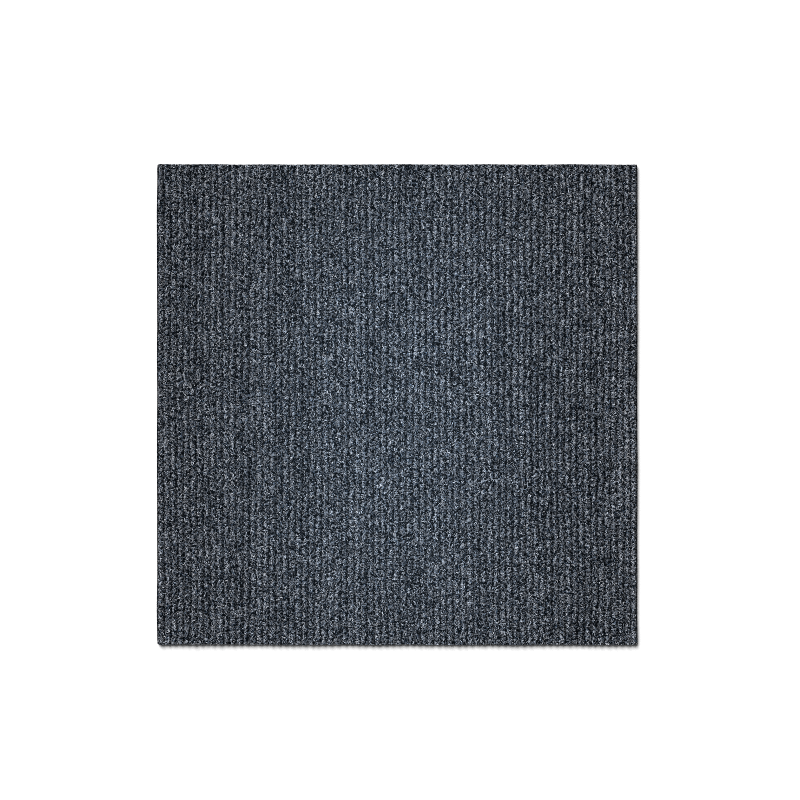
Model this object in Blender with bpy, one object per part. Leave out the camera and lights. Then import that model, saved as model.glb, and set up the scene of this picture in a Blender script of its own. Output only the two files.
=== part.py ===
"""Carpet tile: a needle-punched, ribbed fibre face bonded to a flat backing sheet.

The tile lies on the floor with its ribs up. The origin is the middle of the underside,
+Z is up, +Y runs along the ribs and +X runs across them. Lengths are in metres.
"""

import math

import bpy

# Driving dimensions of the cut tile
TILE_WIDTH = 0.4572
TILE_LENGTH = 0.4572
BACKING_THICKNESS = 0.0022
WEB_THICKNESS = 0.0015
RIB_HEIGHT = 0.0025
RIB_PITCH = 0.00626
VALLEY_WIDTH = 0.0016

# The face is bonded to the backing by a thin film, which is left open here
BOND_FILM = 0.0003

# Straight facets over one rounded rib: an odd number leaves a flat one on the crown
RIB_FACETS = 7

# Colours and roughness of the two layers
FIBRE_COLOUR = (0.060, 0.072, 0.088, 1.0)
FIBRE_ROUGHNESS = 0.95
BACKING_COLOUR = (0.022, 0.023, 0.025, 1.0)
BACKING_ROUGHNESS = 0.80


def clear_scene():
    """Remove every object, so that the script gives the same scene each time."""
    for old in list(bpy.data.objects):
        bpy.data.objects.remove(old)


def plain_material(name, colour, roughness):
    """A non-metallic surface of one colour."""
    material = bpy.data.materials.new(name)
    material.use_nodes = True
    shader = material.node_tree.nodes["Principled BSDF"]
    shader.inputs["Base Color"].default_value = colour
    shader.inputs["Roughness"].default_value = roughness
    shader.inputs["Metallic"].default_value = 0.0
    return material


def rib_centres():
    """The X of each rib: as many whole ribs as fit, with the rest as an equal margin."""
    count = int(TILE_WIDTH / RIB_PITCH)
    first = -RIB_PITCH * (count - 1) / 2
    return [first + RIB_PITCH * number for number in range(count)]


def rib_outline(centre, base):
    """Points over one rib from left to right: a half ellipse that stands on the web."""
    half_width = (RIB_PITCH - VALLEY_WIDTH) / 2
    crown_angle = math.pi / 2 * (1 - 1 / RIB_FACETS)
    points = []
    for corner in range(RIB_FACETS + 1):
        angle = math.pi * (1 - corner / RIB_FACETS)
        rise = RIB_HEIGHT * math.sin(angle) / math.sin(crown_angle)
        points.append((centre + half_width * math.cos(angle), base + rise))
    return points


def face_section():
    """The closed outline of the face, cut square across the ribs."""
    underside = BACKING_THICKNESS + BOND_FILM
    base = underside + WEB_THICKNESS
    side = TILE_WIDTH / 2
    points = [(-side, underside), (-side, base)]
    for centre in rib_centres():
        points += rib_outline(centre, base)
    points += [(side, base), (side, underside)]
    return points


def make_ribbed_face(collection):
    """The needle-punched felt: a thin web with rounded ribs, in one piece."""
    curve = bpy.data.curves.new("ribbed_face", "CURVE")
    curve.dimensions = "2D"
    curve.fill_mode = "BOTH"
    curve.extrude = TILE_LENGTH / 2
    section = face_section()
    spline = curve.splines.new("POLY")
    spline.points.add(len(section) - 1)
    for point, (x, z) in zip(spline.points, section):
        point.co = (x, z, 0.0, 1.0)
    spline.use_cyclic_u = True
    face = bpy.data.objects.new("ribbed_face", curve)
    face.rotation_euler = (math.radians(90), 0.0, 0.0)
    face.data.materials.append(
        plain_material("face_fibre", FIBRE_COLOUR, FIBRE_ROUGHNESS)
    )
    collection.objects.link(face)
    return face


def make_backing(collection):
    """The backing sheet: a flat slab, cut to the same outline as the face."""
    bpy.ops.mesh.primitive_cube_add(size=1.0)
    backing = bpy.context.active_object
    backing.name = "backing"
    backing.data.name = "backing"
    backing.scale = (TILE_WIDTH, TILE_LENGTH, BACKING_THICKNESS)
    backing.location = (0.0, 0.0, BACKING_THICKNESS / 2)
    bpy.ops.object.transform_apply(location=False, rotation=False, scale=True)
    backing.data.materials.append(
        plain_material("backing_compound", BACKING_COLOUR, BACKING_ROUGHNESS)
    )
    for holder in list(backing.users_collection):
        holder.objects.unlink(backing)
    collection.objects.link(backing)
    return backing


def main():
    clear_scene()
    carpet_tile = bpy.data.collections.new("carpet_tile")
    bpy.context.scene.collection.children.link(carpet_tile)
    make_backing(carpet_tile)
    make_ribbed_face(carpet_tile)


main()
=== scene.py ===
# %% [markdown]
# # A ribbed carpet tile
#
# The real tile is a felt of crimped fibres, needled into rounded ribs and bonded to a flat
# backing. Seen from above it is a heather: black, slate, blue-grey and pale fibres lie
# across each other in small curls, and the dark valleys between the ribs show as lines.
#
# Fibres are far too fine to model one by one, so this lesson builds the felt in three
# depths: a ribbed ground, thousands of curled tufts of a few fibres each that stand on it,
# and a procedural finish that draws what is finer still.

import bpy
import numpy as np
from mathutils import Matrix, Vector


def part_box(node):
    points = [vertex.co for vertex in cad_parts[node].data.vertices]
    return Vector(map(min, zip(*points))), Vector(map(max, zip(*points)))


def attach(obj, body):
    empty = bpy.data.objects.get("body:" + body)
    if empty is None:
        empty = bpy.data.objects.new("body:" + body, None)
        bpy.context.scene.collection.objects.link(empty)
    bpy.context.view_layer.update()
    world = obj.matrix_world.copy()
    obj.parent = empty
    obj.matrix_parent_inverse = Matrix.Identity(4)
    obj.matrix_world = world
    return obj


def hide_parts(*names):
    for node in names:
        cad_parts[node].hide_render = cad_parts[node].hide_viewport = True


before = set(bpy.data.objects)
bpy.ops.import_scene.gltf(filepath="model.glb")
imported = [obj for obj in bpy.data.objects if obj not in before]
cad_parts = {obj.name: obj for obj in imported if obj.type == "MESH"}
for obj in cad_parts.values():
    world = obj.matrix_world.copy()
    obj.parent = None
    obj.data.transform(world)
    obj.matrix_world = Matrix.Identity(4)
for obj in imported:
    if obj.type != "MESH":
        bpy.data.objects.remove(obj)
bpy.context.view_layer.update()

MM = 0.001

# %% [markdown]
# ## What the frame says about the felt
#
# The frame holds the two layers at their real size. The face's ribs all have a flat crown,
# so the long lines at the top level come in pairs, and the middle of each pair is the middle
# of a rib. The lines at the web's level are the feet of the ribs, and every second gap
# between them is a valley. Reading the ribs from the frame, and not typing them in again,
# keeps the tufts on the ribs when a size changes.

# %% Read the ribs and the levels
SAME_LEVEL = 0.01 * MM
corners = np.array([corner.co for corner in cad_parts["ribbed_face"].data.vertices])
felt_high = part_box("ribbed_face")[1]
backing_low, backing_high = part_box("backing")


def lines_at(level):
    """The X of each long line of the face that runs at this level."""
    found = corners[abs(corners[:, 2] - level) < SAME_LEVEL]
    return np.unique(found[:, 0].round(6))


half_width = felt_high.x
half_length = felt_high.y
crown_level = felt_high.z
web_level = float(np.unique(corners[:, 2].round(6))[1])
rib_centres = lines_at(crown_level).reshape(-1, 2).mean(1)
rib_pitch = float(np.diff(rib_centres).mean())
valley_width = float(np.diff(lines_at(web_level))[2:-2:2].min())
rib_half = (rib_pitch - valley_width) / 2
print(len(rib_centres), "ribs at", round(rib_pitch / MM, 3), "mm")
print("valleys of", round(valley_width / MM, 2), "mm")
print("web at", round(web_level / MM, 2), "mm, crowns at", round(crown_level / MM, 2), "mm")

# %% [markdown]
# ## Slow randomness
#
# Nothing in a felt is quite straight or level, but its unevenness is smooth: a rib bends and
# swells over centimetres. A grid of random values, blended between its points, gives such a
# drift at any place. Long cells give streaks, and short ones give patches. One seeded
# generator makes every draw, so each run gives the same tile.

# %% Drift
dice = np.random.default_rng(20)


def drift(width, length):
    """A smooth random surface over the tile, between -1 and 1, from cells of this size."""
    across = int(2 * half_width / width) + 4
    along = int(2 * half_length / length) + 4
    grid = dice.uniform(-1, 1, (across, along))

    def at(x, y):
        u = np.clip((x + half_width) / width + 1, 0, across - 1.001)
        v = np.clip((y + half_length) / length + 1, 0, along - 1.001)
        column, row = u.astype(int), v.astype(int)
        u, v = u - column, v - row
        u, v = u * u * (3 - 2 * u), v * v * (3 - 2 * v)
        near = grid[column, row] * (1 - u) + grid[column + 1, row] * u
        far = grid[column, row + 1] * (1 - u) + grid[column + 1, row + 1] * u
        return near * (1 - v) + far * v

    return at


# %% [markdown]
# ## From straight to real
#
# Everything is laid out on a tile with straight ribs and straight edges, which keeps the
# formulas short, and is then moved sideways to its real place. Needles made the ribs, so they
# wander by up to a millimetre, and sway by a little more over a hand's breadth. The tile was
# cut from a roll, so its edges wander by a few tenths, and its corners are slightly worn. One
# function moves the points of every layer, so they stay together.

# %% Settle a point in its real place
RIB_WANDER = 0.9 * MM
RIB_SWAY = 1.2 * MM
EDGE_WANDER = 0.35 * MM
EDGE_BAND = 9 * MM
CORNER_WEAR = 0.45 * MM
WEAR_FADE = 6
rib_wander = drift(7 * MM, 7 * MM)
rib_sway = drift(80 * MM, 80 * MM)
edge_drift_x = drift(34 * MM, 34 * MM)
edge_drift_y = drift(26 * MM, 26 * MM)


def near_edge(place, half):
    """1 on the edge, and 0 from EDGE_BAND inwards."""
    return np.clip(1 - (half - abs(place)) / EDGE_BAND, 0, 1)


def settle(x, y):
    """Where a point of the straight layout lies on the real tile."""
    near_x, near_y = near_edge(x, half_width), near_edge(y, half_length)
    pull_x = near_x * edge_drift_x(x, y) * EDGE_WANDER
    pull_y = near_y * edge_drift_y(x, y) * EDGE_WANDER
    bend = rib_wander(x, y) * RIB_WANDER + rib_sway(x, y) * RIB_SWAY
    wear = (near_x * near_y) ** WEAR_FADE * CORNER_WEAR
    real_x = x + pull_x + bend * (1 - near_x) - np.sign(x) * wear
    real_y = y + pull_y - np.sign(y) * wear
    return real_x, real_y


# %% [markdown]
# ## The height of the felt
#
# A rib is a rounded ridge on a thin web, which swells and sinks, and has small lumps. One
# function gives the felt's height anywhere, and both the ground and the tufts ask it, so that
# they always meet. Another, the dome, tells how far up its rib a place is. The height, the
# shade and the light in the valleys all follow it.

# %% Height of the felt
RIB_SWELL = 0.16
RIB_FOOT = 1.30
LUMP_HEIGHT = 0.22 * MM
VALLEY_LUMPS = 0.3
TUFT_DEPTH = 0.55 * MM
rib_swell = drift(15 * MM, 15 * MM)
lumps = drift(2.6 * MM, 2.6 * MM)
first_rib = float(rib_centres[0])
last_number = len(rib_centres) - 1


def across_rib(x):
    """The distance from the middle of the nearest rib, as a share of half the rib's width."""
    number = np.clip(np.round((x - first_rib) / rib_pitch), 0, last_number)
    return abs(x - first_rib - number * rib_pitch) / rib_half


def dome(x):
    """How far up its rib a place is: 1 on the crown, and 0 in the valley."""
    return 0.5 + 0.5 * np.cos(np.pi * np.clip(across_rib(x) / RIB_FOOT, 0, 1))


def felt_height(x, y):
    """The level of the felt's ground, which the tufts stand on."""
    rise = crown_level - web_level - TUFT_DEPTH
    rise = rise * (1 + RIB_SWELL * rib_swell(x, y))
    lump = lumps(x, y) * LUMP_HEIGHT * (VALLEY_LUMPS + (1 - VALLEY_LUMPS) * dome(x))
    return web_level + rise * dome(x) + lump


crowns = felt_height(rib_centres, np.zeros(len(rib_centres))) / MM
print("crowns of the ground at", crowns.min().round(2), "to", crowns.max().round(2), "mm")

# %% [markdown]
# ## Writing a finish as a formula
#
# A node tree is a formula drawn with boxes. Wrapping a socket in a small class lets the
# formula be written as one: 1 - mask * 0.3 adds the Math nodes that it stands for. One
# method adds every other kind of node.

# %% A socket that can be used in a formula
class Wire:
    """A node tree, and one output socket in it."""

    def __init__(self, tree, socket=None):
        self.tree = tree
        self.socket = socket

    def node(self, kind, settings, sockets, out=0):
        """Adds a node. Its settings are set first, then its sockets are filled or linked."""
        added = self.tree.nodes.new(kind)
        for name, value in settings.items():
            if name == "stops":
                set_stops(added.color_ramp, value)
            else:
                setattr(added, name, value)
        for name, value in sockets.items():
            if isinstance(value, Wire):
                self.tree.links.new(value.socket, added.inputs[name])
            else:
                added.inputs[name].default_value = value
        return Wire(self.tree, added.outputs[out])

    def maths(self, operation, first, second=0.0):
        return self.node("ShaderNodeMath", {"operation": operation}, {0: first, 1: second})

    def __add__(self, other):
        return self.maths("ADD", self, other)

    def __sub__(self, other):
        return self.maths("SUBTRACT", self, other)

    def __rsub__(self, other):
        return self.maths("SUBTRACT", other, self)

    def __mul__(self, other):
        return self.maths("MULTIPLY", self, other)

    def __pow__(self, other):
        return self.maths("POWER", self, other)

    def __abs__(self):
        return self.maths("ABSOLUTE", self)

    __radd__ = __add__
    __rmul__ = __mul__

    def clamped(self):
        """This value, held between 0 and 1."""
        return self.node("ShaderNodeClamp", {}, {"Value": self})


def set_stops(ramp, stops):
    """Gives a colour ramp these (position, colour) stops."""
    while len(ramp.elements) < len(stops):
        ramp.elements.new(1.0)
    for element, (position, colour) in zip(ramp.elements, stops):
        element.position = position
        element.color = (*colour, 1.0)


def blend(mask, dark, light):
    """The colour that goes from dark to light as the mask goes from 0 to 1."""
    ends = [end if isinstance(end, Wire) else (*end, 1.0) for end in (dark, light)]
    sockets = {0: mask, 6: ends[0], 7: ends[1]}
    return mask.node("ShaderNodeMix", {"data_type": "RGBA"}, sockets, out=2)


def new_finish(name):
    """A material, and its node tree to build on."""
    material = bpy.data.materials.new(name)
    material.use_nodes = True
    return material, Wire(material.node_tree)


def fill_shader(material, sockets):
    """Fills or links the sockets of the material's own shader."""
    shader = material.node_tree.nodes["Principled BSDF"]
    for name, value in sockets.items():
        if isinstance(value, Wire):
            material.node_tree.links.new(value.socket, shader.inputs[name])
        else:
            shader.inputs[name].default_value = value


# %% [markdown]
# ## The felt's own finish
#
# Between the tufts the eye sees into the felt, where finer fibres cross each other. Its colour
# there is nearly black, which is partly the dark fibre and partly painted shade of the depths.
# A thin band of a noise, where its value is close to one half, is a tangle of closed curls,
# much as crimped fibres lie. So the finish is a stack of such tangles, the slate one deepest
# and the pale one on top, each with a noise of its own. The same lines raise the surface a
# little. Where another noise is low, the felt is open and no line shows.
#
# The attribute "rise", written on the mesh further down, is painted shade: it takes the lines
# out of the valleys and darkens the felt's colour there, as the valleys get little light. The
# felt keeps a weak gloss, which shows as a sheen under the lamp.

# %% Finish of the ground
PAINTED_VALLEY_SHADE = (0.0003, 0.0008, 0.0016)
CROWN_FELT = (0.0030, 0.0050, 0.0076)
LINE_EDGE = 2.8
LINE_RAISE = 0.3 * MM
HOLES_EACH_METRE = 430.0
HOLE_LEVEL = 0.40
HOLE_EDGE = 8
FELT_GLOSS = 0.24

# Curls per metre, half the line's width in noise values, and two colours of each tangle
TANGLES = {
    "slate": (300.0, 0.048, (0.012, 0.026, 0.045), (0.086, 0.086, 0.101)),
    "blue_grey": (360.0, 0.038, (0.068, 0.108, 0.159), (0.285, 0.287, 0.309)),
    "pale": (420.0, 0.025, (0.248, 0.286, 0.335), (0.586, 0.602, 0.640)),
}


def noise(wire, where, scale, detail=2.0, seed=0.0):
    """A soft random value between 0 and 1, which changes over about 1 / scale metres."""
    sockets = {"Vector": where, "W": seed, "Scale": scale, "Detail": detail}
    return wire.node("ShaderNodeTexNoise", {"noise_dimensions": "4D"}, sockets, out="Fac")


def curl_lines(wire, where, scale, width, seed):
    """Thin closed curls: 1 along the lines where a noise is one half, and 0 away from them."""
    off_line = abs(noise(wire, where, scale, detail=1.0, seed=seed) - 0.5) * (1 / width)
    return ((1 - off_line) * LINE_EDGE).clamped()


def felt_finish():
    material, wire = new_finish("felt_ground")
    where = wire.node("ShaderNodeTexCoord", {}, {}, out="Object")
    rise = wire.node("ShaderNodeAttribute", {"attribute_name": "rise"}, {}, out="Fac")
    holes = noise(wire, where, HOLES_EACH_METRE, detail=1.0, seed=50.0)
    felted = ((holes - HOLE_LEVEL) * HOLE_EDGE).clamped()
    # Painted shade from the rise: the felt is near black in the valleys and the lines fade out
    # there.
    colour, raised = blend(rise, PAINTED_VALLEY_SHADE, CROWN_FELT), 0.0
    for seed, (scale, width, dark, light) in enumerate(TANGLES.values()):
        line = curl_lines(wire, where, scale, width, 3.0 * seed) * rise * felted
        shade = noise(wire, where, scale * 0.8, detail=0.0, seed=20.0 + seed)
        colour = blend(line, colour, blend(shade, dark, light))
        raised = line * 0.6 + raised * 0.5
    bump_sockets = {"Height": raised, "Strength": 0.7, "Distance": LINE_RAISE}
    fill_shader(material, {
        "Base Color": colour,
        "Roughness": 0.7 - 0.15 * raised,
        "Specular IOR Level": FELT_GLOSS,
        "Normal": wire.node("ShaderNodeBump", {}, bump_sockets, out="Normal"),
    })
    return material


# %% [markdown]
# ## Pieces from arrays
#
# Every piece here has thousands of faces, so its points are worked out as arrays and handed
# to Blender at once. Each piece also gets a flat map, on which its finish can be painted
# when the model leaves Blender. All the pieces go in one collection.

# %% Make a piece
triangle_counts = {}
dressed_tile = bpy.data.collections.new("dressed_tile")
bpy.context.scene.collection.children.link(dressed_tile)


def make_piece(name, places, faces, flat_map, finish, slot):
    """A smooth mesh object that rides on the tile. The flat map has a place for each face corner."""
    mesh = bpy.data.meshes.new(name)
    mesh.from_pydata(places, [], faces)
    mesh.materials.append(finish)
    mesh.shade_smooth()
    layer = mesh.uv_layers.new(name="OFBake")
    layer.uv.foreach_set("vector", flat_map.astype(np.float32).ravel())
    piece = bpy.data.objects.new(name, mesh)
    dressed_tile.objects.link(piece)
    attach(piece, "root")
    triangle_counts[name] = len(mesh.loops) - 2 * len(mesh.polygons)
    print(name, "has", triangle_counts[name], "triangles")
    return piece


# %% [markdown]
# ## A closed sheet
#
# The ground and the backing are both closed sheets: a grid on the side that shows, a wall all
# round, and a flat side against the other layer, which is a fan of long triangles from its
# middle. Blender's grid operator spaces its columns evenly, but here they follow the ribs,
# close together on the flanks where the shape turns, so the sheet is built from a list of
# columns and a list of rows. The mesh is shaded smooth, except where it turns by more than
# SHARP_TURN radians, so that the cut rim stays crisp.
#
# On the flat map, the side that shows takes nearly all the room, the walls lie in four
# strips below it, and the hidden side gets a small square.

# %% Build a closed sheet
SHARP_TURN = 1.1
MAP_SHOWN = 0.92
MAP_CORNER = (0.04, 0.07)
MAP_STRIP = 0.012
MAP_GAP = 0.1
MAP_HIDDEN = 0.06


def grid_faces(columns, rows, start):
    """Quads over a grid of points that is numbered column by column, facing up."""
    column, row = np.meshgrid(np.arange(columns - 1), np.arange(rows - 1), indexing="ij")
    corner = (start + column * rows + row).ravel()
    return np.stack([corner, corner + rows, corner + rows + 1, corner + 1], 1)


def rim_of(columns, rows):
    """The numbers of the points round the grid's edge, anticlockwise seen from above."""
    front = [column * rows for column in range(columns)]
    right = [(columns - 1) * rows + row for row in range(1, rows)]
    back = [column * rows + rows - 1 for column in range(columns - 2, -1, -1)]
    left = list(range(rows - 2, 0, -1))
    return np.array(front + right + back + left)


def wall_map(count):
    """The flat map of a wall of so many quads: four strips, one above the other."""
    start = 4 * np.arange(count) / count
    strip = np.floor(start)
    left, right = start - strip, start - strip + 4 / count
    low = (strip + MAP_GAP) * MAP_STRIP
    high = (strip + 1 - MAP_GAP) * MAP_STRIP
    corner_u = np.stack([left, right, right, left], 1) * (MAP_SHOWN - MAP_HIDDEN) + MAP_HIDDEN
    corner_v = np.stack([low, low, high, high], 1)
    return np.stack([corner_u, corner_v], 2)


def closed_sheet(x_lines, y_lines, shown_level, flat_level):
    """Points, faces and flat map of a sheet: a side that shows, with its level as a function of
    X and Y, and a hidden flat side, above or below it."""
    x, y = (side.ravel() for side in np.meshgrid(x_lines, y_lines, indexing="ij"))
    shown = np.stack([*settle(x, y), shown_level(x, y)], 1)
    rim = rim_of(len(x_lines), len(y_lines))
    flat = shown[rim] * (1, 1, 0) + (0, 0, flat_level)
    places = np.concatenate([shown, flat, [(0, 0, flat_level)]])

    grid = grid_faces(len(x_lines), len(y_lines), 0)
    low = len(x) + np.arange(len(rim))
    low_after, rim_after = np.roll(low, -1), np.roll(rim, -1)
    wall = np.stack([low, low_after, rim_after, rim], 1)
    fan = np.stack([np.full_like(low, len(places) - 1), low_after, low], 1)

    square = np.stack([x / half_width + 1, y / half_length + 1], 1) / 2
    large = square * MAP_SHOWN + MAP_CORNER
    small = np.concatenate([square, square[rim], [(0.5, 0.5)]]) * (MAP_HIDDEN - 0.01)
    turn = -1 if flat_level > shown[:, 2].mean() else 1
    flat_map = [large[grid], wall_map(len(rim)), small[fan]]
    flat_map = np.concatenate([part[:, ::turn].reshape(-1, 2) for part in flat_map])
    faces = [face for part in (grid, wall, fan) for face in part[:, ::turn].tolist()]
    return places, faces, flat_map


# %% [markdown]
# ## The ribbed ground
#
# Seven columns to a rib are enough: one in the valley, and a foot, a shoulder and the edge of
# the crown on each side. The flat side lies on the backing, as the bonded felt does.
#
# The left and right sides are cut along the ribs, through a valley, so the ground's painted
# valley shade, the attribute "rise", deepens towards them.

# %% Felt ground
COLUMN_SHARES = (0.0, 0.13, 0.26, 0.41, 0.59, 0.74, 0.87)
ROW_STEP = 3.7 * MM
# Painted shade of the valleys: the rise is VALLEY_SHADE on a valley floor, climbs with the dome by
# VALLEY_CLIMB, and fades to 0 over SIDE_FADE at the cut sides.
VALLEY_SHADE = 0.15
VALLEY_CLIMB = 3.5
SIDE_FADE = 2.2 * MM
SIDE_GAP = 0.2 * MM


def rib_columns():
    """The X of each column of the ground, from the left edge to the right one."""
    inner = [rib_centres[-1] + rib_pitch / 2]
    for centre in rib_centres:
        inner += [centre + (share - 0.5) * rib_pitch for share in COLUMN_SHARES]
    kept = [x for x in sorted(inner) if abs(x) < half_width - SIDE_GAP]
    return np.array([-half_width, *kept, half_width])


def make_ground():
    rows = np.linspace(-half_length, half_length, round(2 * half_length / ROW_STEP))
    columns = rib_columns()
    parts = closed_sheet(columns, rows, felt_height, backing_high.z)
    ground = make_piece("felt_ground", *parts, felt_finish(), "face_fibre")
    ground.data.set_sharp_from_angle(angle=SHARP_TURN)
    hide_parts("ribbed_face")
    across = np.repeat(columns, len(rows))
    # The rise, painted shade of the valleys and the cut sides, for each point of the shown side.
    rise = np.zeros(len(parts[0]), dtype=np.float32)
    rise[:len(across)] = np.clip(dome(across) * VALLEY_CLIMB + VALLEY_SHADE, 0, 1)
    rise[:len(across)] *= np.clip((half_width - abs(across)) / SIDE_FADE, 0, 1)
    layer = ground.data.attributes.new("rise", "FLOAT", "POINT")
    layer.data.foreach_set("value", rise)


make_ground()

# %% [markdown]
# ## Skinning a bent line
#
# A tuft is a few fibres that lie together: thick in the middle, and pointed where it dives
# into the felt. A curve object with a bevel would do, but more than fifty thousand of them
# would be slow. So each tuft is a row of three-sided rings along a bent line, closed by a
# point at each end, and all the tufts of one colour and kind are skinned in one go.

# %% Skin many lines
SIDES = 3


def tuft_faces(rings):
    """The triangles of one tuft: a point, some rings of three corners, and a point."""
    faces = []
    last = 1 + SIDES * rings
    for side in range(SIDES):
        beside = (side + 1) % SIDES
        faces.append((0, 1 + beside, 1 + side))
        for here in range(1, last - SIDES, SIDES):
            ahead = here + SIDES
            faces.append((here + side, here + beside, ahead + beside))
            faces.append((here + side, ahead + beside, ahead + side))
        faces.append((last - SIDES + side, last - SIDES + beside, last))
    return np.array(faces)


def skin(lines, lifts, side, up, girth, roll):
    """Points, faces and points' lifts of closed tufts, along lines with a lift for each step."""
    tufts, steps, _ = lines.shape
    turn = roll[:, None, None] + 2 * np.pi * np.arange(SIDES) / SIDES
    outward = side[:, :, None] * np.cos(turn)[..., None] + up[:, :, None] * np.sin(turn)[..., None]
    rings = lines[:, 1:-1, None] + outward[:, 1:-1] * girth[:, 1:-1, None, None]
    rings = rings.reshape(tufts, -1, 3)
    places = np.concatenate([lines[:, :1], rings, lines[:, -1:]], 1)
    step = np.concatenate([[0], np.repeat(np.arange(1, steps - 1), SIDES), [steps - 1]])
    one = tuft_faces(steps - 2)
    faces = one + np.arange(tufts)[:, None, None] * places.shape[1]
    return places, faces, lifts[:, step]


# %% [markdown]
# ## Where the tufts lie
#
# A carding machine spreads the fibres evenly, so each tuft gets a cell of a grid to itself and
# lies anywhere in it. Wholly random places would leave clumps and bald patches. The needles
# then gather the fibre up into the ribs, which is a shift towards the nearest crown. Each tuft
# is a piece of a circle, laid in any direction: a short stroke, a bow, or a curl that nearly
# closes.
#
# Each step of a tuft also gets a lift: how far out of the felt it is, and so how much light
# it gets, which the finish paints into its colour as shade. It is 0 at both ends, which are
# buried, and follows the dome in between. In a valley most tufts are painted dark, and a few
# bridge the gap and are bright.

# %% Lay the tufts
GATHER = 0.15
END_SINK = 0.35 * MM
EDGE_KEEP = 0.25 * MM
SIDE_KEEP = 1.1 * MM

# Rings, share of the tufts, length and turn of each kind of tuft
TUFT_KINDS = {
    "stroke": (1, 0.34, (1.8 * MM, 3.2 * MM), (0.3, 1.4)),
    "bow": (2, 0.33, (2.3 * MM, 3.7 * MM), (1.4, 2.8)),
    "curl": (4, 0.33, (3.3 * MM, 5.4 * MM), (3.2, 5.0)),
}
TUFT_GIRTH = (0.25 * MM, 0.40 * MM)
TUFT_ARCH = (0.15 * MM, 0.75 * MM)
TUFT_FLATNESS = 0.6
TUFT_TIP = 0.6
VALLEY_LIFT = (0.0, 0.36)


def scatter(count):
    """Places for count tufts, evenly over the tile but denser towards the crowns."""
    cells = int(np.ceil(count ** 0.5))
    cell = dice.permutation(cells * cells)[:count]
    x = ((cell % cells + dice.random(count)) / cells * 2 - 1) * half_width
    y = ((cell // cells + dice.random(count)) / cells * 2 - 1) * half_length
    turn = 2 * np.pi / rib_pitch
    return x - GATHER * np.sin(turn * (x - first_rib)) / turn, y


def lay_tufts(x, y, rings, lengths, turns):
    """Skins a tuft of one kind at each X and Y."""
    count = len(x)
    step = np.linspace(0, 1, rings + 2)
    length = dice.uniform(*lengths, (count, 1))
    turn = dice.uniform(*turns, (count, 1)) * dice.choice((-1, 1), (count, 1))
    heading = dice.uniform(0, 2 * np.pi, (count, 1)) + turn * (step - 0.5)
    line_x = length / turn * np.sin(heading)
    line_y = -length / turn * np.cos(heading)
    line_x += x[:, None] - line_x.mean(1, keepdims=True)
    line_y += y[:, None] - line_y.mean(1, keepdims=True)
    line_x = np.clip(line_x, SIDE_KEEP - half_width, half_width - SIDE_KEEP)
    line_y = np.clip(line_y, EDGE_KEEP - half_length, half_length - EDGE_KEEP)
    belly = np.sin(np.pi * step)
    arch = dice.uniform(*TUFT_ARCH, (count, 1))
    line_z = felt_height(line_x, line_y) + arch * belly - END_SINK * (1 - belly)
    lines = np.stack([*settle(line_x, line_y), line_z], 2)
    # The lift drives painted shade: 0 at the buried ends, the dome along the tuft, and a random
    # bridge over a valley.
    lifts = (dome(line_x) + dice.uniform(*VALLEY_LIFT, (count, 1))).clip(0, 1)
    lifts[:, [0, -1]] = 0
    side = np.stack([-np.sin(heading), np.cos(heading), np.zeros_like(heading)], 2)
    up = np.zeros_like(side)
    up[..., 2] = TUFT_FLATNESS
    girth = dice.uniform(*TUFT_GIRTH, (count, 1)) * (TUFT_TIP + (1 - TUFT_TIP) * belly)
    return skin(lines, lifts, side, up, girth, dice.uniform(0, 2 * np.pi, count))


# %% [markdown]
# ## The colour of a tuft
#
# The yarn maker blends fibres of a few fixed colours. Each colour is a piece of its own here,
# so that a user of the model can dye one without the others. Fibres never take the dye alike:
# within a piece each tuft has a shade, and as the shade grows the colour gets lighter, and is
# cooler and warmer in turn. Where the lift is low, the colour sinks to almost nothing: this is
# painted shade, for the buried ends and the valleys. The lift is squared, so that the painted
# shade of the valleys stays dark and narrow. The fibres are glossier than the ground they
# stand on, which gives them most of the sheen under the lamp.
#
# The flat map is a shade card: shade runs across it, and lift runs up it. All points of one
# shade and lift share one place, and the card holds every colour of the piece.

# %% Finish of the fibres
CARD_MARGIN = 0.05
STRAND_SHADE = 0.05
FIBRE_GLOSS = 0.80
PAINTED_SHADE_SHARE = 0.04
LIFT_EDGE = 4.0


def fibre_finish(name, colours):
    """The finish of tufts whose shade runs through these colours, from the first to the last."""
    material, wire = new_finish(name)
    shade = wire.node("ShaderNodeAttribute", {"attribute_name": "shade"}, {}, out="Fac")
    lift = wire.node("ShaderNodeAttribute", {"attribute_name": "lift"}, {}, out="Fac")
    # Painted shade: a low lift sinks the colour towards a tiny share of the first colour.
    painted_shade = tuple(PAINTED_SHADE_SHARE * part for part in colours[0])
    stops = [(number / (len(colours) - 1), colour) for number, colour in enumerate(colours)]
    dyed = wire.node("ShaderNodeValToRGB", {"stops": stops}, {"Fac": shade}, out="Color")
    fill_shader(material, {
        "Base Color": blend((lift * LIFT_EDGE).clamped() ** 2, painted_shade, dyed),
        "Roughness": 0.65 - 0.1 * shade,
        "Specular IOR Level": FIBRE_GLOSS,
    })
    return material


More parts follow.
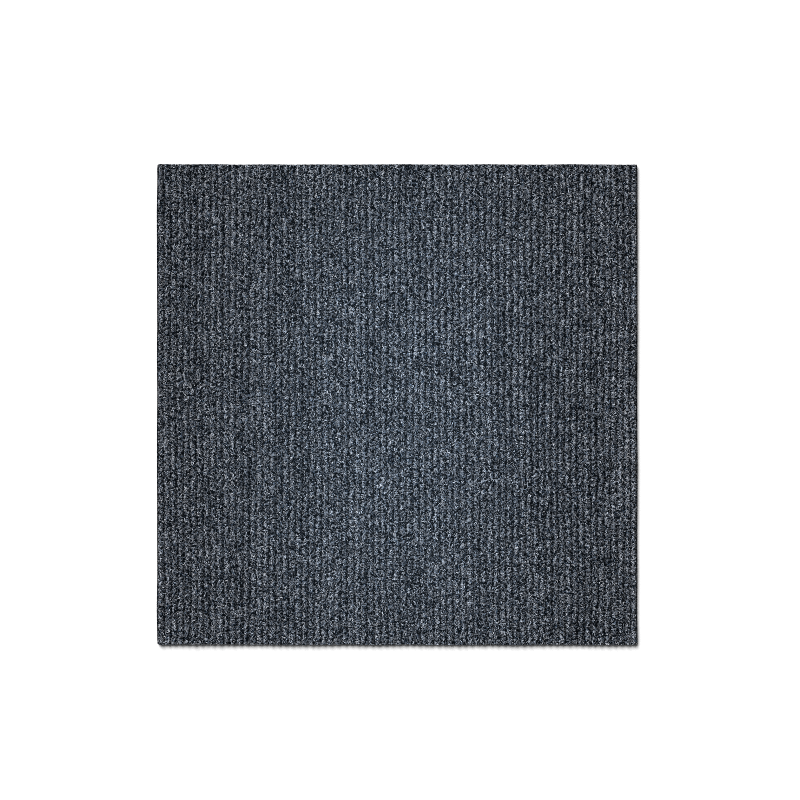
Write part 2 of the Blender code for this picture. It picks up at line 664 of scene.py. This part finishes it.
def tuft_piece(name, skins, tuft_shades, colours):
    """One piece from several skins of tufts, with a list of shades for each skin."""
    all_places, all_faces, all_shades, all_lifts = [], [], [], []
    start = 0
    for (places, faces, lifts), tuft_shade in zip(skins, tuft_shades):
        tufts, points, _ = places.shape
        strand = STRAND_SHADE * (np.arange(points) % SIDES - 1)
        all_shades.append(np.clip(tuft_shade[:, None] + strand, 0, 1).ravel())
        all_lifts.append(lifts.ravel())
        all_places.append(places.reshape(-1, 3))
        all_faces.append(faces.reshape(-1, 3) + start)
        start += tufts * points
    faces = np.concatenate(all_faces)
    shades, lifts = np.concatenate(all_shades), np.concatenate(all_lifts)
    card = CARD_MARGIN + (1 - 2 * CARD_MARGIN) * np.stack([shades, lifts], 1)
    piece = make_piece(
        name, np.concatenate(all_places), faces, card[faces].reshape(-1, 2),
        fibre_finish(name, colours), "face_fibre",
    )
    for label, values in (("shade", shades), ("lift", lifts)):
        layer = piece.data.attributes.new(label, "FLOAT", "POINT")
        layer.data.foreach_set("value", values.astype(np.float32))


# %% [markdown]
# ## Streaks and patches
#
# The blend is not quite even. The web is drawn out lengthwise while it is made, which leaves
# faint streaks along the ribs, and there are short patches too. So the tufts of all colours
# are scattered at once, and each gets a random lightness that two drifts push up or down.
# Sorted by it, the darkest quarter becomes the black piece, and so on up to the pale one.

# %% Spin the fibres into pieces
TUFTS_EACH = 13700
FIBRES = {
    "fibre_black": (
        (0.001, 0.001, 0.002), (0.003, 0.003, 0.003), (0.007, 0.011, 0.018),
    ),
    "fibre_slate": (
        (0.014, 0.028, 0.051), (0.041, 0.043, 0.045), (0.045, 0.076, 0.126), (0.094, 0.097, 0.110),
    ),
    "fibre_blue_grey": (
        (0.079, 0.124, 0.173), (0.139, 0.140, 0.150), (0.179, 0.239, 0.331), (0.295, 0.295, 0.319),
    ),
    "fibre_pale": (
        (0.256, 0.295, 0.350), (0.410, 0.411, 0.426), (0.517, 0.587, 0.696), (0.725, 0.728, 0.765),
    ),
}
STREAKS = 0.20
PATCHES = 0.10
streaks = drift(rib_pitch, 220 * MM)
patches = drift(rib_pitch, 16 * MM)


def make_fibres(name, colours, x, y):
    """One colour's piece, with a tuft at each X and Y."""
    skins, start = [], 0
    for rings, share, lengths, turns in TUFT_KINDS.values():
        part = slice(start, start + round(len(x) * share))
        skins.append(lay_tufts(x[part], y[part], rings, lengths, turns))
        start = part.stop
    tuft_shades = [dice.random(len(places)) for places, faces, lifts in skins]
    tuft_piece(name, skins, tuft_shades, colours)


def spin_fibres():
    x, y = scatter(TUFTS_EACH * len(FIBRES))
    lightness = dice.random(len(x)) + STREAKS * streaks(x, y) + PATCHES * patches(x, y)
    from_dark = np.split(np.argsort(lightness), len(FIBRES))
    for (name, colours), chosen in zip(FIBRES.items(), from_dark):
        chosen = dice.permutation(chosen)
        make_fibres(name, colours, x[chosen], y[chosen])


spin_fibres()

# %% [markdown]
# ## The cut sides
#
# A blade cuts the tile out of the roll, and fibre ends stand out of the cut all round. They
# are short and nearly straight, so each is skinned with a single ring: it starts in the felt,
# where its root is painted dark as shade, and its tip stands out by less than a millimetre.
# They stop below the top of the ribs, so that the outline stays a clean cut. They are one
# piece, whose shade runs through the whole blend, because the blade cuts every colour.

# %% Cut fibre ends
FRAY_COUNT = 9000
FRAY_TOP = 0.8
FRAY_ROOT = 0.9 * MM
FRAY_TIP = (0.05 * MM, 0.50 * MM)
FRAY_GIRTH = (0.14 * MM, 0.26 * MM)
FRAY_SPREAD = 0.55 * MM
FRAY_DROOP = (-0.5, 0.7)
FRAY_BOW = (0, 0.4, 1)


def make_fray():
    side_number = dice.integers(0, 4, FRAY_COUNT)
    out = np.array([(1, 0), (0, 1), (-1, 0), (0, -1)])[side_number]
    place = dice.uniform(-1, 1, FRAY_COUNT)[:, None] * out[:, ::-1] + out
    x, y = (place * (half_width, half_length)).T
    room = FRAY_TOP * (felt_height(x, y) - backing_high.z)
    level = backing_high.z + dice.random(FRAY_COUNT) * room
    reach = np.stack([np.full(FRAY_COUNT, -FRAY_ROOT), np.zeros(FRAY_COUNT),
                      dice.uniform(*FRAY_TIP, FRAY_COUNT)], 1)
    bend = dice.uniform(-1, 1, (FRAY_COUNT, 3)) * FRAY_SPREAD
    droop = dice.uniform(*FRAY_DROOP, (FRAY_COUNT, 3)) * FRAY_SPREAD * FRAY_BOW
    cut_x, cut_y = settle(x, y)
    lines = np.stack([
        cut_x[:, None] + reach * out[:, :1] + bend * out[:, 1:],
        cut_y[:, None] + reach * out[:, 1:] + bend * out[:, :1],
        level[:, None] + droop,
    ], 2)
    side = np.zeros_like(lines)
    side[..., :2] = out[:, None, ::-1]
    up = np.zeros_like(lines)
    up[..., 2] = 1.0
    girth = dice.uniform(*FRAY_GIRTH, (FRAY_COUNT, 1)) * np.ones(3)
    roll = dice.uniform(0, 2 * np.pi, FRAY_COUNT)
    # Painted shade: the root in the felt has a lift of 0, the middle and the tip are in the light.
    lifts = np.tile((0.0, 1.0, 1.0), (FRAY_COUNT, 1))
    fray = skin(lines, lifts, side, up, girth, roll)
    blend_colours = [colours[number] for colours in FIBRES.values() for number in (0, -1)]
    tuft_piece("edge_fray", [fray], [dice.random(FRAY_COUNT)], blend_colours)


make_fray()

# %% [markdown]
# ## The backing
#
# Under the felt is a sheet of dark, rubbery compound, which keeps the tile flat and in its
# place. It was poured against a pebbled belt, and its underside took the belt's grain. The
# sheet is one more closed sheet, upside down, cut by the same blade. Its slow waves are in
# the mesh, and the pebbles, which are far finer, are in the finish.

# %% Backing
BACKING_STEP = 3.6 * MM
BACKING_WAVE = 0.08 * MM
PEBBLE_RAISE = 0.12 * MM
PEBBLES_EACH_METRE = 620.0
COMPOUND = (0.016, 0.017, 0.019)
CHALKY = (0.036, 0.037, 0.040)
belt_waves = drift(9 * MM, 9 * MM)


def underside(x, y):
    """The level of the underside: it stands on the crests of its waves."""
    return backing_low.z + (1 + belt_waves(x, y)) * BACKING_WAVE


def compound_finish():
    material, wire = new_finish("backing_compound")
    where = wire.node("ShaderNodeTexCoord", {}, {}, out="Object")
    cells = {"Vector": where, "Scale": PEBBLES_EACH_METRE}
    pebble = 1 - wire.node("ShaderNodeTexVoronoi", {"feature": "SMOOTH_F1"}, cells, out="Distance")
    bloom = noise(wire, where, 34.0, detail=4.0, seed=5.0)
    worn = (pebble * 0.5 + bloom - 0.45).clamped()
    bump_sockets = {"Height": pebble, "Strength": 0.8, "Distance": PEBBLE_RAISE}
    fill_shader(material, {
        "Base Color": blend(worn, COMPOUND, CHALKY),
        "Roughness": 0.62 + 0.22 * bloom,
        "Specular IOR Level": 0.35,
        "Normal": wire.node("ShaderNodeBump", {}, bump_sockets, out="Normal"),
    })
    return material


def make_backing():
    lines = np.linspace(-1, 1, round(2 * half_width / BACKING_STEP))
    parts = closed_sheet(lines * half_width, lines * half_length, underside, backing_high.z)
    backing = make_piece("backing_sheet", *parts, compound_finish(), "backing_compound")
    backing.data.set_sharp_from_angle(angle=SHARP_TURN)
    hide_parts("backing")


make_backing()

# %% [markdown]
# ## Floor and light
#
# The picture is a plain product shot: the tile lies on white, seen from straight above. A
# large soft light from the upper left gives a soft shadow a few millimetres long, and makes
# the floor just white, so that the whole of the shadow's soft edge shows. It and the sky are
# hidden from glossy rays, which would lay a grey haze over the black fibres.
#
# A long, cool lamp hangs low above the middle, along the ribs. Its beam is narrow, so it gives
# the middle a faint blue sheen that veils the dark valleys there, and leaves the corners
# dark. It is linked to the tile's collection, so that it lights the tile and not the floor.

# %% Floor
FLOOR_HALF = 12.0


def make_floor():
    mesh = bpy.data.meshes.new("floor")
    square = [(-FLOOR_HALF, -FLOOR_HALF, 0), (FLOOR_HALF, -FLOOR_HALF, 0),
              (FLOOR_HALF, FLOOR_HALF, 0), (-FLOOR_HALF, FLOOR_HALF, 0)]
    mesh.from_pydata(square, [], [(0, 1, 2, 3)])
    material, wire = new_finish("pale_floor")
    where = wire.node("ShaderNodeTexCoord", {}, {}, out="Object")
    paper = blend(noise(wire, where, 40.0), (0.90, 0.90, 0.90), (0.93, 0.93, 0.93))
    fill_shader(material, {"Base Color": paper, "Roughness": 0.9, "Specular IOR Level": 0.1})
    mesh.materials.append(material)
    floor = bpy.data.objects.new("floor", mesh)
    bpy.context.scene.collection.objects.link(floor)
    print("floor", 2 * FLOOR_HALF, "m wide")


make_floor()

# %% Lights
KEY_FROM = Vector((-0.92, 1.48, 2.0))
KEY_STRENGTH = 4.4
KEY_ANGLE = 0.66
LAMP_HEIGHT = 0.24
LAMP_SIDES = (0.20, 0.40)
LAMP_SPREAD = 1.5
LAMP_WATTS = 0.14
LAMP_COLOUR = (0.74, 1.05, 1.31)


def add_light(name, kind, energy, place):
    """A light at this place that points at the middle of the tile, and isn't seen itself."""
    lamp = bpy.data.objects.new(name, bpy.data.lights.new(name, kind))
    lamp.data.energy = energy
    lamp.location = place
    lamp.rotation_euler = place.to_track_quat("Z", "Y").to_euler()
    lamp.visible_camera = False
    bpy.context.scene.collection.objects.link(lamp)
    print(name, "with a strength of", energy)
    return lamp


soft_key = add_light("soft_key", "SUN", KEY_STRENGTH, KEY_FROM)
soft_key.data.angle = KEY_ANGLE
soft_key.visible_glossy = False

middle_lamp = add_light("middle_lamp", "AREA", LAMP_WATTS, Vector((0, 0, LAMP_HEIGHT)))
middle_lamp.data.color = LAMP_COLOUR
middle_lamp.data.shape = "RECTANGLE"
middle_lamp.data.spread = LAMP_SPREAD
middle_lamp.data.size, middle_lamp.data.size_y = LAMP_SIDES
middle_lamp.light_linking.receiver_collection = dressed_tile

# %% [markdown]
# ## Sky
#
# The camera sees a white studio all round, but as a light the sky is dim, or it would fill the
# valleys and wash out the shadow. The light path tells the two apart.
#
# The colours are shown as they are, and nothing smooths the picture, so that the fibres stay
# crisp.

# %% Sky and picture
SKY = 0.12
PIXEL_BLUR = 0.8


def make_sky():
    world = bpy.data.worlds.new("studio")
    bpy.context.scene.world = world
    world.use_nodes = True
    world.cycles_visibility.glossy = False
    seen = Wire(world.node_tree).node("ShaderNodeLightPath", {}, {}, out="Is Camera Ray")
    background = world.node_tree.nodes["Background"]
    background.inputs["Color"].default_value = (1, 1, 1, 1)
    strength = seen * (1 - SKY) + SKY
    world.node_tree.links.new(strength.socket, background.inputs["Strength"])
    print("sky with a strength of", SKY)


make_sky()
bpy.context.scene.view_settings.view_transform = "Standard"
bpy.context.scene.cycles.use_denoising = False
bpy.context.scene.cycles.filter_width = PIXEL_BLUR

# %% [markdown]
# ## Camera
#
# The camera looks straight down from two metres up, with a long lens, so that all four sides
# of the tile are hidden under its edges. Its height makes the tile as many pixels wide as it
# is in the picture, and a small step aside puts the tile's middle where it is there.

# %% Camera
PHOTO_SIDE = 800
TILE_PIXELS = 480.1
TILE_MIDDLE = (397.1, 404.5)
LENS = 100.0
SENSOR = 36.0


def make_camera():
    pixel = 2 * half_width / TILE_PIXELS
    frame_side = pixel * PHOTO_SIDE
    height = web_level + frame_side * LENS / SENSOR
    offset_x = (PHOTO_SIDE / 2 - TILE_MIDDLE[0]) * pixel
    offset_y = (TILE_MIDDLE[1] - PHOTO_SIDE / 2) * pixel
    lens = bpy.data.cameras.new("camera")
    lens.lens = LENS
    lens.sensor_width = SENSOR
    lens.clip_end = 50
    camera = bpy.data.objects.new("camera", lens)
    camera.location = (offset_x, offset_y, height)
    bpy.context.scene.collection.objects.link(camera)
    bpy.context.scene.camera = camera
    print("camera", round(height, 3), "m up")


make_camera()

# %% [markdown]
# ## Last measurements
#
# The pieces' triangles are added up.

# %% Measure and finish
print("all added triangles:", sum(triangle_counts.values()))
